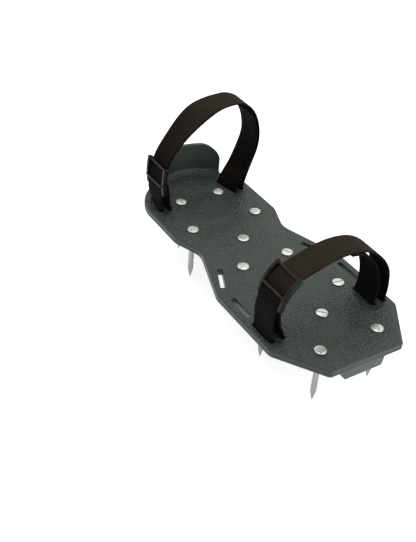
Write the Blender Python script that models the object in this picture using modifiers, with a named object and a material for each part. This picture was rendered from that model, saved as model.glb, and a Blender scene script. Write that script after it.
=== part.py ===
"""Lawn aerator sandal: a moulded sole with bolted spikes and two webbing straps with sliding buckles.

Metres, +Z up, +Y towards the heel. The origin is under the middle of the sole, level with the spike tips.
"""

import math

import bmesh
import bpy
from mathutils import Matrix, Vector

# Sole
SOLE_LENGTH = 0.300
SOLE_HALF_WIDTH = 0.0640
SOLE_THICKNESS = 0.0065
SOLE_EDGE_ROUND = 0.0012
HEEL_HALF_WIDTH = 0.0544
HEEL_CURVE_Y = 0.103
# The outline's corners on the +X side, from toe to heel: X, Y, radius
SOLE_CORNERS = (
    (0.0360, -SOLE_LENGTH / 2, 0.004),
    (SOLE_HALF_WIDTH, -0.1080, 0.010),
    (SOLE_HALF_WIDTH, -0.0300, 0.020),
    (0.0441, 0.0285, 0.020),
    (HEEL_HALF_WIDTH, 0.0560, 0.018),
)
GAP = 0.0003

# Spikes, bolted through the sole with a head on top and a nut underneath
SPIKE_REACH = 0.047
SPIKE_RADIUS = 0.0025
SPIKE_POINT = 0.010
SPIKE_TIP_RADIUS = 0.0003
SPIKE_SIDES = 16
HEAD_RADIUS = 0.0052
HEAD_HEIGHT = 0.0011
HEAD_SLOT_WIDTH = 0.0011
HEAD_SLOT_DEPTH = 0.0005
NUT_ACROSS_FLATS = 0.010
NUT_HEIGHT = 0.005
SPIKE_PLACES = (
    (-0.0207, 0.1035),
    (0.0207, 0.1035),
    (-0.0338, 0.0594),
    (0.0338, 0.0594),
    (0.0, 0.0278),
    (-0.0233, -0.0077),
    (0.0233, -0.0077),
    (0.0, -0.0403),
    (-0.0374, -0.0633),
    (0.0374, -0.0633),
    (0.0, -0.0900),
    (-0.0287, -0.1260),
    (0.0287, -0.1260),
)

# Slots for the straps: centre on the +X side, length along Y, turn outwards towards the toe
SLOT_WIDTH = 0.0048
SLOT_LENGTH = 0.0275
HEEL_FLARE = math.radians(12.0)
FRONT_Y = -0.0880
FRONT_INNER_X = 0.0456
FRONT_OUTER_X = 0.0569
HEEL_Y = 0.1083
HEEL_INNER_X = 0.0332
HEEL_SLOT_PITCH = 0.0089
SPARE_STRAIGHT = (0.0552, -0.0536, 0.0265, 0.0)
SPARE_ANGLED = (0.0489, -0.0132, 0.0260, math.radians(25.0))

# Toe block under the sole, with three blind pockets
BLOCK_HALF_WIDTH = 0.0215
BLOCK_FOOT_HALF_WIDTH = 0.0185
BLOCK_BACK_Y = -0.1308
BLOCK_FRONT_Y = -0.1482
BLOCK_DEPTH = 0.0110
POCKET_SIZE = (0.0094, 0.0038, 0.0060)
POCKET_PITCH = 0.0117
POCKET_Y = -0.1372
BLOCK_EDGE_ROUND = 0.0008

# Heel cup
CUP_HALF_WIDTH = 0.0378
CUP_HEIGHT = 0.0320
CUP_WALL = 0.0036
CUP_CORNER = 0.0155
CUP_RIM_ROUND = 0.0009

# Webbing
WEB_WIDTH = 0.025
WEB_THICKNESS = 0.0018
LOOP_DEPTH = 0.0060
LEG_UPRIGHT = 0.0072
ROUTE_STEPS = 4

# Buckles: a frame bent to an arc, with three bars across the webbing
BUCKLE_RAIL = 0.0030
BUCKLE_RAIL_DEPTH = 0.0046
BUCKLE_RAIL_RISE = (-0.0016, 0.0024)
BUCKLE_BAR_RADIUS = 0.0011
BUCKLE_CLEARANCE = 0.0004

SOLE_BOTTOM = SPIKE_REACH
SOLE_TOP = SOLE_BOTTOM + SOLE_THICKNESS

# The circle that each strap follows through its buckle, in X and height over the sole's bottom face. The
# strap meets it at start, leaves it at stop, and its other end is tucked in at tucked, in degrees from +X.
# The buckle's two ends and its middle bar are at low, top and middle.
FRONT_ARC = {"centre": (-0.0215, 0.0265), "radius": 0.0365, "start": 180, "stop": 108, "tucked": 131}
FRONT_BUCKLE = {"low": 159, "middle": 144, "top": 117}
HEEL_ARC = {"centre": (0.029, 0.026), "radius": 0.075, "start": 188, "stop": 153, "tucked": 173}
HEEL_BUCKLE = {"low": 179, "middle": 173, "top": 161}

# Straps, as X and height over the sole's bottom face: what comes before and after the arc at the buckle
FRONT_ROUTE_BEFORE = (
    (-0.0506, 0.0205),
    (-0.0474, 0.0130),
)
FRONT_ROUTE_AFTER = (
    (-0.0210, 0.0646),
    (-0.0120, 0.0673),
    (-0.0030, 0.0691),
    (0.0070, 0.0698),
    (0.0160, 0.0691),
    (0.0262, 0.0668),
    (0.0360, 0.0617),
    (0.0445, 0.0545),
    (0.0512, 0.0463),
    (0.0560, 0.0360),
    (0.0580, 0.0200),
)
FRONT_ROUTE_INNER = (
    (0.0472, 0.0150),
    (0.0473, 0.0260),
    (0.0445, 0.0385),
    (0.0389, 0.0498),
    (0.0310, 0.0592),
    (0.0208, 0.0653),
    (0.0120, 0.0671),
)
HEEL_ROUTE_BEFORE = ((-0.0364, 0.0148),)
HEEL_ROUTE_AFTER = (
    (-0.0285, 0.0730),
    (-0.0189, 0.0836),
    (-0.0087, 0.0921),
    (0.0012, 0.0973),
    (0.0115, 0.1005),
    (0.0215, 0.1016),
    (0.0310, 0.1012),
    (0.0406, 0.0972),
    (0.0480, 0.0899),
    (0.0530, 0.0800),
    (0.0559, 0.0680),
    (0.0563, 0.0555),
    (0.0543, 0.0444),
    (0.0500, 0.0320),
    (0.0450, 0.0180),
)
HEEL_ROUTE_INNER = (
    (0.0376, 0.0155),
    (0.0442, 0.0255),
    (0.0482, 0.0350),
    (0.0513, 0.0450),
    (0.0533, 0.0555),
    (0.0530, 0.0670),
    (0.0504, 0.0779),
    (0.0458, 0.0869),
    (0.0388, 0.0942),
)

# Heights over the sole's bottom face where each strap's turn has faded out, on the left and on the right
FRONT_FADES = (1.0, 1.0)
HEEL_FADES = (0.022, 0.060)

# The heel strap leans: its rear edge is further out where the strap climbs from the buckle
FRONT_LEAN = {"angle": 0.0, "x": 0.0, "spread": 0.014, "above": 0.050}
HEEL_LEAN = {"angle": math.radians(14.0), "x": -0.008, "spread": 0.016, "above": 0.050}

FINISHES = {
    "sole": ((0.070, 0.094, 0.083), 0.62, 0.0),
    "zinc": ((0.66, 0.66, 0.64), 0.28, 1.0),
    "webbing": ((0.016, 0.013, 0.011), 0.85, 0.0),
    "buckle": ((0.012, 0.012, 0.012), 0.45, 0.0),
}


def clear_scene():
    for obj in list(bpy.data.objects):
        bpy.data.objects.remove(obj, do_unlink=True)


def new_collection(name, hidden=False):
    collection = bpy.data.collections.new(name)
    bpy.context.scene.collection.children.link(collection)
    collection.hide_render = hidden
    return collection


def finish(obj, name, kind):
    """Gives the object its own material."""
    colour, roughness, metallic = FINISHES[kind]
    material = bpy.data.materials.new(name + "_finish")
    material.use_nodes = True
    shader = material.node_tree.nodes["Principled BSDF"]
    shader.inputs["Base Color"].default_value = (*colour, 1.0)
    shader.inputs["Roughness"].default_value = roughness
    shader.inputs["Metallic"].default_value = metallic
    material.diffuse_color = (*colour, 1.0)
    obj.data.materials.clear()
    obj.data.materials.append(material)


def add_object(name, data, collection, place=(0, 0, 0), turn=0.0):
    obj = bpy.data.objects.new(name, data)
    obj.location = place
    obj.rotation_euler = (0, 0, turn)
    collection.objects.link(obj)
    return obj


def hide_cutter(obj):
    obj.hide_render = True
    obj.display_type = "WIRE"
    return obj


def mesh_from(bm, name):
    bmesh.ops.recalc_face_normals(bm, faces=bm.faces)
    mesh = bpy.data.meshes.new(name)
    bm.to_mesh(mesh)
    bm.free()
    return mesh


def smooth(mesh, angle=35):
    mesh.shade_smooth()
    mesh.set_sharp_from_angle(angle=math.radians(angle))


def as_mesh(obj):
    """Replaces an object by a mesh object of its evaluated shape, with its seams welded."""
    graph = bpy.context.evaluated_depsgraph_get()
    graph.update()
    mesh = bpy.data.meshes.new_from_object(obj.evaluated_get(graph))
    bm = bmesh.new()
    bm.from_mesh(mesh)
    bmesh.ops.remove_doubles(bm, verts=bm.verts, dist=1e-6)
    bm.to_mesh(mesh)
    bm.free()
    name, collection, world = obj.name, obj.users_collection[0], obj.matrix_world.copy()
    bpy.data.objects.remove(obj, do_unlink=True)
    mesh_object = bpy.data.objects.new(name, mesh)
    mesh_object.matrix_world = world
    collection.objects.link(mesh_object)
    return mesh_object


def flat_plate(name, outline, thickness, collection):
    """A closed 2D outline in X and Y, given a thickness along Z about its own plane."""
    curve = bpy.data.curves.new(name, "CURVE")
    curve.dimensions = "2D"
    curve.fill_mode = "BOTH"
    curve.extrude = thickness / 2
    spline = curve.splines.new("POLY")
    spline.points.add(len(outline) - 1)
    for point, (x, y) in zip(spline.points, outline):
        point.co = (x, y, 0, 1)
    spline.use_cyclic_u = True
    return add_object(name, curve, collection)


def rounded_corner(before, corner, after, radius, steps=6):
    """Points of the arc that rounds a corner between its two neighbours."""
    corner = Vector(corner)
    back = (Vector(before) - corner).normalized()
    ahead = (Vector(after) - corner).normalized()
    half = back.angle(ahead) / 2
    centre = corner + (back + ahead).normalized() * (radius / math.sin(half))
    start = corner + back * (radius / math.tan(half)) - centre
    stop = corner + ahead * (radius / math.tan(half)) - centre
    turn = start.angle_signed(stop)
    return [centre + Matrix.Rotation(-turn * i / steps, 2) @ start for i in range(steps + 1)]


def heel_arc(inset, start_x, steps):
    """The heel's elliptical end, from X = start_x round to X = -start_x, set in from the outline."""
    wide = HEEL_HALF_WIDTH - inset
    deep = SOLE_LENGTH / 2 - HEEL_CURVE_Y - inset
    first = math.acos(min(1.0, start_x / wide))
    angles = [first + (math.pi - 2 * first) * i / steps for i in range(steps + 1)]
    return [Vector((wide * math.cos(a), HEEL_CURVE_Y + deep * math.sin(a))) for a in angles]


def sole_outline():
    places = [(0, -SOLE_LENGTH / 2)] + [c[:2] for c in SOLE_CORNERS] + [(HEEL_HALF_WIDTH, HEEL_CURVE_Y)]
    side = []
    for index, (x, y, radius) in enumerate(SOLE_CORNERS, start=1):
        side += rounded_corner(places[index - 1], (x, y), places[index + 1], radius)
    other_side = [Vector((-p.x, p.y)) for p in reversed(side)]
    return side + heel_arc(0, HEEL_HALF_WIDTH, 32) + other_side


def box_cutter(name, size, place, turn, collection, corner=0.001):
    """A block with its four upright edges rounded."""
    bm = bmesh.new()
    bmesh.ops.create_cube(bm, size=1.0, matrix=Matrix.Diagonal((*size, 1)))
    upright = [e for e in bm.edges if abs(e.verts[0].co.z - e.verts[1].co.z) > size[2] / 2]
    bmesh.ops.bevel(bm, geom=upright, offset=corner, segments=2, affect="EDGES", profile=0.5)
    return hide_cutter(add_object(name, mesh_from(bm, name), collection, place, turn))


def strap_slots():
    """(name, x, y, length, turn) of each slot on the +X side."""
    across = Vector((math.cos(HEEL_FLARE), math.sin(HEEL_FLARE))) * HEEL_SLOT_PITCH
    return (
        ("front_inner", FRONT_INNER_X, FRONT_Y, SLOT_LENGTH, 0.0),
        ("front_outer", FRONT_OUTER_X, FRONT_Y, SLOT_LENGTH, 0.0),
        ("heel_inner", HEEL_INNER_X, HEEL_Y, SLOT_LENGTH, HEEL_FLARE),
        ("heel_outer", HEEL_INNER_X + across.x, HEEL_Y + across.y, SLOT_LENGTH, HEEL_FLARE),
        ("spare_straight", *SPARE_STRAIGHT),
        ("spare_angled", *SPARE_ANGLED),
    )


def cut_openings(sole, cutters):
    """Cuts the strap slots and the spikes' holes."""
    group = bpy.data.collections.new("sole_cutters")
    cutters.children.link(group)
    middle = SOLE_BOTTOM + SOLE_THICKNESS / 2
    for name, x, y, length, turn in strap_slots():
        for side in (1, -1):
            size = (SLOT_WIDTH, length, 3 * SOLE_THICKNESS)
            label = f"{name}_{'right' if side > 0 else 'left'}"
            box_cutter(label, size, (side * x, y, middle), side * turn, group)
    for index, (x, y) in enumerate(SPIKE_PLACES, start=1):
        bm = bmesh.new()
        bmesh.ops.create_cone(
            bm,
            cap_ends=True,
            segments=SPIKE_SIDES,
            radius1=SPIKE_RADIUS + GAP,
            radius2=SPIKE_RADIUS + GAP,
            depth=3 * SOLE_THICKNESS,
        )
        hole = add_object(f"spike_hole_{index:02d}", mesh_from(bm, "spike_hole"), group, (x, y, middle))
        hide_cutter(hole)
    openings = sole.modifiers.new("openings", "BOOLEAN")
    openings.operand_type = "COLLECTION"
    openings.collection = group
    openings.operation = "DIFFERENCE"


def make_heel_cup(cutters):
    """The wall that stands on the heel's edge, made too tall, then trimmed to its height and rounded corners."""
    height = SOLE_THICKNESS * 0.5 + 1.2 * CUP_HEIGHT
    inner = list(reversed(heel_arc(SOLE_EDGE_ROUND + CUP_WALL, CUP_HALF_WIDTH, 24)))
    band = heel_arc(SOLE_EDGE_ROUND, CUP_HALF_WIDTH + CUP_WALL / 3, 24) + inner
    cup = flat_plate("heel_cup", band, height, cutters)
    cup.location.z = SOLE_BOTTOM + SOLE_THICKNESS * 0.5 + height / 2
    bpy.context.view_layer.update()
    cup = hide_cutter(as_mesh(cup))

    top = SOLE_TOP + CUP_HEIGHT
    foot = SOLE_BOTTOM - SOLE_THICKNESS
    corners = ((CUP_HALF_WIDTH, foot), (CUP_HALF_WIDTH, top), (-CUP_HALF_WIDTH, top), (-CUP_HALF_WIDTH, foot))
    arch = [Vector(corners[0])]
    arch += rounded_corner(corners[0], corners[1], corners[2], CUP_CORNER, 10)
    arch += rounded_corner(corners[1], corners[2], corners[3], CUP_CORNER, 10)
    arch += [Vector(corners[3])]
    front = flat_plate("heel_cup_front_view", arch, SOLE_LENGTH, cutters)
    front.rotation_euler = (math.pi / 2, 0, 0)
    bpy.context.view_layer.update()
    front = hide_cutter(as_mesh(front))

    trim = cup.modifiers.new("rounded_corners", "BOOLEAN")
    trim.operation = "INTERSECT"
    trim.object = front
    soften = cup.modifiers.new("soft_rim", "BEVEL")
    soften.width = CUP_RIM_ROUND
    soften.segments = 2
    soften.limit_method = "ANGLE"
    soften.angle_limit = math.radians(50)
    return cup


def make_toe_block(cutters):
    """The block under the toe, narrower at its foot, with its three pockets open downwards."""
    bm = bmesh.new()
    bmesh.ops.create_cube(bm, size=1.0)
    for vert in bm.verts:
        low = vert.co.z < 0
        half = BLOCK_FOOT_HALF_WIDTH if low else BLOCK_HALF_WIDTH
        depth = SOLE_BOTTOM - BLOCK_DEPTH if low else SOLE_BOTTOM + SOLE_THICKNESS / 2
        y = BLOCK_FRONT_Y if vert.co.y < 0 else BLOCK_BACK_Y
        vert.co = (math.copysign(half, vert.co.x), y, depth)
    block = hide_cutter(add_object("toe_block", mesh_from(bm, "toe_block"), cutters))
    soften = block.modifiers.new("soft_edges", "BEVEL")
    soften.width = BLOCK_EDGE_ROUND
    soften.segments = 2
    pockets = bpy.data.collections.new("toe_pockets")
    cutters.children.link(pockets)
    middle = SOLE_BOTTOM - BLOCK_DEPTH
    for step in (-1, 0, 1):
        size = (POCKET_SIZE[0], POCKET_SIZE[1], 2 * POCKET_SIZE[2])
        box_cutter(f"pocket_{step + 2}", size, (step * POCKET_PITCH, POCKET_Y, middle), 0, pockets, 0.0005)
    cut = block.modifiers.new("pockets", "BOOLEAN")
    cut.operand_type = "COLLECTION"
    cut.collection = pockets
    return block


def make_sole(parts, cutters):
    sole = flat_plate("sole", sole_outline(), SOLE_THICKNESS, parts)
    sole.location.z = SOLE_BOTTOM + SOLE_THICKNESS / 2
    bpy.context.view_layer.update()
    sole = as_mesh(sole)
    edge = sole.modifiers.new("edge_round", "BEVEL")
    edge.width = SOLE_EDGE_ROUND
    edge.segments = 2
    edge.limit_method = "ANGLE"
    edge.angle_limit = math.radians(60)
    for name, piece in (("heel_cup", make_heel_cup(cutters)), ("toe_block", make_toe_block(cutters))):
        join = sole.modifiers.new(name, "BOOLEAN")
        join.operation = "UNION"
        join.object = piece
    cut_openings(sole, cutters)
    finish(sole, "sole", "sole")


def turned_mesh(name, profile, collection, steps=SPIKE_SIDES):
    """A mesh turned round Z from (radius, height) points, top to bottom down the outer side."""
    mesh = bpy.data.meshes.new(name)
    edges = [(i, i + 1) for i in range(len(profile) - 1)]
    mesh.from_pydata([(r, 0, z) for r, z in profile], edges, [])
    obj = add_object(name, mesh, collection)
    screw = obj.modifiers.new("turn", "SCREW")
    screw.steps = steps
    screw.render_steps = steps
    screw.use_merge_vertices = True
    screw.merge_threshold = 0.00001
    return obj


def spike_profile():
    """From the middle of the head down to the tip, about the sole's top face at height 0."""
    tip = -SOLE_THICKNESS - SPIKE_REACH
    crown = 0.0004
    return (
        (0, HEAD_HEIGHT),
        (HEAD_RADIUS * 0.55, HEAD_HEIGHT),
        (HEAD_RADIUS * 0.86, HEAD_HEIGHT - crown * 0.6),
        (HEAD_RADIUS, HEAD_HEIGHT - 2 * crown),
        (HEAD_RADIUS, GAP),
        (SPIKE_RADIUS, GAP),
        (SPIKE_RADIUS, tip + SPIKE_POINT),
        (SPIKE_RADIUS * 0.55, tip + SPIKE_POINT * 0.42),
        (SPIKE_TIP_RADIUS, tip + SPIKE_TIP_RADIUS),
        (0, tip),
    )


def make_spikes(parts, cutters):
    """One mesh for all the spikes, turned and slotted, then one object for each place."""
    blank = turned_mesh("spike_blank", spike_profile(), cutters)
    slot = box_cutter(
        "head_slot",
        (3 * HEAD_RADIUS, HEAD_SLOT_WIDTH, 2 * HEAD_SLOT_DEPTH),
        (0, 0, HEAD_HEIGHT),
        0,
        cutters,
        0.0001,
    )
    cut = blank.modifiers.new("slot", "BOOLEAN")
    cut.object = slot
    blank = hide_cutter(as_mesh(blank))
    smooth(blank.data)
    for index, (x, y) in enumerate(SPIKE_PLACES, start=1):
        name = f"spike_{index:02d}"
        turn = math.radians(57 * index)
        spike = add_object(name, blank.data.copy(), parts, (x, y, SOLE_TOP), turn)
        finish(spike, name, "zinc")


def make_nuts(parts, cutters):
    """Hexagon nuts with a bevelled lower face, drawn up against the sole."""
    bm = bmesh.new()
    corner_radius = NUT_ACROSS_FLATS / 2 / math.cos(math.pi / 6)
    bmesh.ops.create_cone(
        bm, cap_ends=True, segments=6, radius1=corner_radius, radius2=corner_radius, depth=NUT_HEIGHT
    )
    blank = add_object("nut_blank", mesh_from(bm, "nut_blank"), cutters)
    chamfer = (
        (0, NUT_HEIGHT),
        (corner_radius + 0.003, NUT_HEIGHT),
        (corner_radius + 0.003, -NUT_HEIGHT / 2 + 0.0022),
        (NUT_ACROSS_FLATS / 2 - 0.0002, -NUT_HEIGHT / 2 - 0.0002),
        (0, -NUT_HEIGHT / 2 - 0.0002),
    )
    form = hide_cutter(turned_mesh("nut_form", chamfer, cutters, 24))
    bore = turned_mesh(
        "nut_bore",
        (
            (0, NUT_HEIGHT),
            (SPIKE_RADIUS + GAP, NUT_HEIGHT),
            (SPIKE_RADIUS + GAP, -NUT_HEIGHT),
            (0, -NUT_HEIGHT),
        ),
        cutters,
    )
    hide_cutter(bore)
    shape = blank.modifiers.new("chamfer", "BOOLEAN")
    shape.operation = "INTERSECT"
    shape.object = form
    hole = blank.modifiers.new("bore", "BOOLEAN")
    hole.object = bore
    blank = hide_cutter(as_mesh(blank))
    height = SOLE_BOTTOM - GAP - NUT_HEIGHT / 2
    for index, (x, y) in enumerate(SPIKE_PLACES, start=1):
        name = f"nut_{index:02d}"
        turn = math.radians(23 * index)
        nut = add_object(name, blank.data.copy(), parts, (x, y, height), turn)
        finish(nut, name, "zinc")


def arc_points(arc, step=9, inset=0.0, start=None, stop=None):
    """Points on a strap's circle at its buckle, from start to stop, in degrees."""
    start = arc["start"] if start is None else start
    stop = arc["stop"] if stop is None else stop
    count = max(1, round(abs(stop - start) / step))
    radius = arc["radius"] - inset
    points = []
    for index in range(count + 1):
        angle = math.radians(start + (stop - start) * index / count)
        points.append((arc["centre"][0] + radius * math.cos(angle), arc["centre"][1] + radius * math.sin(angle)))
    return points


def under_loop(outer_x, inner_x):
    """The bight of webbing under the sole, from an outer slot to the inner slot beside it."""
    middle = (outer_x + inner_x) / 2
    depth = LOOP_DEPTH - WEB_THICKNESS / 2
    swell = 0.87
    quarter = (outer_x - inner_x) / 2 * 0.78
    return [
        (outer_x, LEG_UPRIGHT),
        (outer_x, LEG_UPRIGHT / 2),
        (outer_x, -0.0012),
        (middle + quarter, -depth * swell),
        (middle, -depth),
        (middle - quarter, -depth * swell),
        (inner_x, -0.0012),
        (inner_x, LEG_UPRIGHT / 2),
        (inner_x, LEG_UPRIGHT),
    ]


def strap_route(before, arc, after, inner, outer_x, inner_x):
    """The whole length of a strap: tucked end, left loop, arch, right loop, inner end."""
    inset = WEB_THICKNESS + 2 * BUCKLE_CLEARANCE + 2 * BUCKLE_BAR_RADIUS
    route = arc_points(arc, inset=inset, start=arc["tucked"], stop=arc["start"] - 4)[:-1] + list(before)
    route += [(-x, z) for x, z in reversed(under_loop(outer_x, inner_x))]
    route += arc_points(arc) + list(after)
    route += under_loop(outer_x, inner_x) + list(inner)
    return route


def smooth_route(points):
    """A Catmull-Rom curve through the points."""
    padded = [points[0]] + list(points) + [points[-1]]
    curve = []
    for index in range(1, len(padded) - 2):
        p0, p1, p2, p3 = (Vector(p) for p in padded[index - 1 : index + 3])
        for step in range(ROUTE_STEPS):
            t = step / ROUTE_STEPS
            a = 2 * p1
            b = p2 - p0
            c = 2 * p0 - 5 * p1 + 4 * p2 - p3
            d = 3 * p1 - p0 - 3 * p2 + p3
            curve.append((a + b * t + c * t * t + d * t**3) / 2)
    return curve + [Vector(points[-1])]


def make_strap(name, route, centre_y, flare, fades, lean, parts):
    """A ribbon along the route. Its width turns with the slots at the sole, and higher up lies along Y or leans."""
    bm = bmesh.new()
    rows = []
    curve = smooth_route(route)
    for index, (x, z) in enumerate(curve):
        along = (curve[min(index + 1, len(curve) - 1)] - curve[max(index - 1, 0)]).normalized()
        outward = Vector((-along.y, 0, along.x))
        tilt = lean["angle"] * math.exp(-(((x - lean["x"]) / lean["spread"]) ** 2)) if z > lean["above"] else 0.0
        fade = fades[0] if x < 0 else fades[1]
        turn = math.copysign(flare, x) * max(0.0, min(1.0, (fade - z) / (fade - LEG_UPRIGHT)))
        y = centre_y + math.tan(abs(turn)) * (abs(x) - HEEL_INNER_X)
        level = Vector((math.sin(turn), -math.cos(turn), 0))
        across = (level * math.cos(tilt) - outward * math.sin(tilt)) * (WEB_WIDTH / 2)
        middle = Vector((x, y, SOLE_BOTTOM + z))
        rows.append((bm.verts.new(middle - across), bm.verts.new(middle + across)))
    for (a, b), (c, d) in zip(rows, rows[1:]):
        bm.faces.new((a, b, d, c))
    mesh = bpy.data.meshes.new(name)
    bm.to_mesh(mesh)
    bm.free()
    mesh.shade_smooth()
    strap = add_object(name, mesh, parts)
    thick = strap.modifiers.new("webbing", "SOLIDIFY")
    thick.thickness = WEB_THICKNESS
    thick.offset = 0
    thick.use_even_offset = True
    finish(strap, name, "webbing")
    return strap


def polar(arc, radius, degrees):
    angle = math.radians(degrees)
    return Vector((arc["centre"][0] + radius * math.cos(angle), arc["centre"][1] + radius * math.sin(angle)))


def buckle_rail(name, arc, spread, side, cutters):
    """One side of the frame: an arc that rises from level with the webbing at its foot to outside it at its top."""
    steps = 14
    outside = []
    inside = []
    end = math.degrees(BUCKLE_BAR_RADIUS * 1.6 / arc["radius"])
    for index in range(steps + 1):
        angle = spread["low"] + end + (spread["top"] - spread["low"] - 2 * end) * index / steps
        share = (spread["low"] - angle) / (spread["low"] - spread["top"])
        rise = BUCKLE_RAIL_RISE[0] + (BUCKLE_RAIL_RISE[1] - BUCKLE_RAIL_RISE[0]) * share
        outside.append(polar(arc, arc["radius"] + rise + BUCKLE_RAIL_DEPTH / 2, angle))
        inside.append(polar(arc, arc["radius"] + rise - BUCKLE_RAIL_DEPTH / 2, angle))
    rail = flat_plate(name, outside + inside[::-1], BUCKLE_RAIL, cutters)
    rail.rotation_euler = (math.pi / 2, 0, 0)
    rail.location = (0, side * (WEB_WIDTH / 2 + GAP + BUCKLE_RAIL / 2), SOLE_BOTTOM)
    bpy.context.view_layer.update()
    return hide_cutter(as_mesh(rail))


def buckle_bar(name, arc, degrees, outside, cutters):
    """A round bar across the webbing, on its outer or its inner side."""
    reach = BUCKLE_CLEARANCE + WEB_THICKNESS / 2 + BUCKLE_BAR_RADIUS
    place = polar(arc, arc["radius"] + (reach if outside else -reach), degrees)
    bm = bmesh.new()
    bmesh.ops.create_cone(
        bm,
        cap_ends=True,
        segments=12,
        radius1=BUCKLE_BAR_RADIUS,
        radius2=BUCKLE_BAR_RADIUS,
        depth=WEB_WIDTH + 2 * GAP + BUCKLE_RAIL,
    )
    bar = add_object(name, mesh_from(bm, name), cutters, (place.x, 0, SOLE_BOTTOM + place.y))
    bar.rotation_euler = (math.pi / 2, 0, 0)
    return hide_cutter(bar)


def make_buckle(name, arc, spread, centre_y, parts, cutters):
    """The frame with its origin on the axis of the circle that it slides round."""
    pieces = bpy.data.collections.new(name + "_pieces")
    cutters.children.link(pieces)
    left = buckle_rail(name + "_rail_toe", arc, spread, -1, cutters)
    buckle_rail(name + "_rail_heel", arc, spread, 1, pieces)
    buckle_bar(name + "_bar_low", arc, spread["low"], False, pieces)
    buckle_bar(name + "_bar_middle", arc, spread["middle"], True, pieces)
    buckle_bar(name + "_bar_top", arc, spread["top"], True, pieces)
    join = left.modifiers.new("frame", "BOOLEAN")
    join.operation = "UNION"
    join.operand_type = "COLLECTION"
    join.collection = pieces
    joined = as_mesh(left)
    axis = Vector((arc["centre"][0], 0, SOLE_BOTTOM + arc["centre"][1]))
    joined.data.transform(Matrix.Translation(-axis) @ joined.matrix_world)
    buckle = add_object(name, joined.data, parts, axis + Vector((0, centre_y, 0)))
    bpy.data.objects.remove(joined)
    smooth(buckle.data)
    finish(buckle, name, "buckle")


def main():
    clear_scene()
    parts = new_collection("aerator_sandal")
    cutters = new_collection("cutters", hidden=True)
    make_sole(parts, cutters)
    make_spikes(parts, cutters)
    make_nuts(parts, cutters)

    front = strap_route(
        FRONT_ROUTE_BEFORE, FRONT_ARC, FRONT_ROUTE_AFTER, FRONT_ROUTE_INNER, FRONT_OUTER_X, FRONT_INNER_X
    )
    make_strap("front_strap", front, FRONT_Y, 0.0, FRONT_FADES, FRONT_LEAN, parts)
    heel_outer = HEEL_INNER_X + HEEL_SLOT_PITCH * math.cos(HEEL_FLARE)
    heel = strap_route(HEEL_ROUTE_BEFORE, HEEL_ARC, HEEL_ROUTE_AFTER, HEEL_ROUTE_INNER, heel_outer, HEEL_INNER_X)
    make_strap("heel_strap", heel, HEEL_Y, HEEL_FLARE, HEEL_FADES, HEEL_LEAN, parts)
    make_buckle("front_buckle", FRONT_ARC, FRONT_BUCKLE, FRONT_Y, parts, cutters)
    make_buckle("heel_buckle", HEEL_ARC, HEEL_BUCKLE, HEEL_Y, parts, cutters)


main()
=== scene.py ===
import math

import bmesh
import bpy
from mathutils import Matrix, Vector


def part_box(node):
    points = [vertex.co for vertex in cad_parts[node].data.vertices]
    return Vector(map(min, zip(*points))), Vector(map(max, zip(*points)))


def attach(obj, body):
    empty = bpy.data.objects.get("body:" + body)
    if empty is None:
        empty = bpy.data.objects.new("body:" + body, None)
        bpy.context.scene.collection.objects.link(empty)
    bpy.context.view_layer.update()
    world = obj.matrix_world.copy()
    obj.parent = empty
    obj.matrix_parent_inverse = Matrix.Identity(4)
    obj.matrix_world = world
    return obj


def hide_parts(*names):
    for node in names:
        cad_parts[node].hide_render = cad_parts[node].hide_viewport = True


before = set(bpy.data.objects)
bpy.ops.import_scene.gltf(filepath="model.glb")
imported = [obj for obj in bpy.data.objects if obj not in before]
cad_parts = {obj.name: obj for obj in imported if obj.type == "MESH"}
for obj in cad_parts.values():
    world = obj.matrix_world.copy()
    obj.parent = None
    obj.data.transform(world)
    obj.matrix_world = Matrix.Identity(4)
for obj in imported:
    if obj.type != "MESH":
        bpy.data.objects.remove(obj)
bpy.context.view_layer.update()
print("frame loaded:", len(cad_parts), "nodes")

mm = 0.001
spikeNodes = sorted(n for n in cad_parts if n.startswith("spike_"))
nutNodes = sorted(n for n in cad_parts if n.startswith("nut_"))
soleThickness = 6.5 * mm
nutGap = 0.3 * mm
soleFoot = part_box(nutNodes[0])[1].z + nutGap          # the face that the nuts are drawn up against
soleTop = soleFoot + soleThickness


# camera

cameraSetup = {
    "place": (-0.4187, -0.5368, 0.5451),
    "turn": (52.80, -3.58, -31.46),
    "lens": 63.4,
    "sensor": 36.0,
}


def addCamera():
    data = bpy.data.cameras.new("camera")
    data.lens = cameraSetup["lens"]
    data.sensor_width = cameraSetup["sensor"]
    camera = bpy.data.objects.new("camera", data)
    camera.location = cameraSetup["place"]
    camera.rotation_euler = [math.radians(a) for a in cameraSetup["turn"]]
    bpy.context.scene.collection.objects.link(camera)
    bpy.context.scene.camera = camera


addCamera()
print("camera placed")


# small tools

def addObject(name, mesh):
    obj = bpy.data.objects.new(name, mesh)
    bpy.context.scene.collection.objects.link(obj)
    return obj


def meshFrom(bm, name, outwards=True):
    if outwards:
        bmesh.ops.recalc_face_normals(bm, faces=bm.faces)
    mesh = bpy.data.meshes.new(name)
    bm.to_mesh(mesh)
    bm.free()
    return mesh


def evaluatedMesh(obj):
    graph = bpy.context.evaluated_depsgraph_get()
    graph.update()
    return bpy.data.meshes.new_from_object(obj.evaluated_get(graph))


def settle(obj, name=None):
    # turns modifiers and place into plain mesh, with the object left at the origin
    mesh = evaluatedMesh(obj)
    mesh.transform(obj.matrix_world)
    name = name or obj.name
    bpy.data.objects.remove(obj, do_unlink=True)
    mesh.name = name
    return addObject(name, mesh)


def smoothShade(obj, angle=35):
    obj.data.shade_smooth()
    obj.data.set_sharp_from_angle(angle=math.radians(angle))


def boolean(obj, other, operation="DIFFERENCE"):
    cut = obj.modifiers.new(other.name, "BOOLEAN")
    cut.operation = operation
    cut.object = other
    cut.solver = "EXACT"
    return cut


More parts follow.
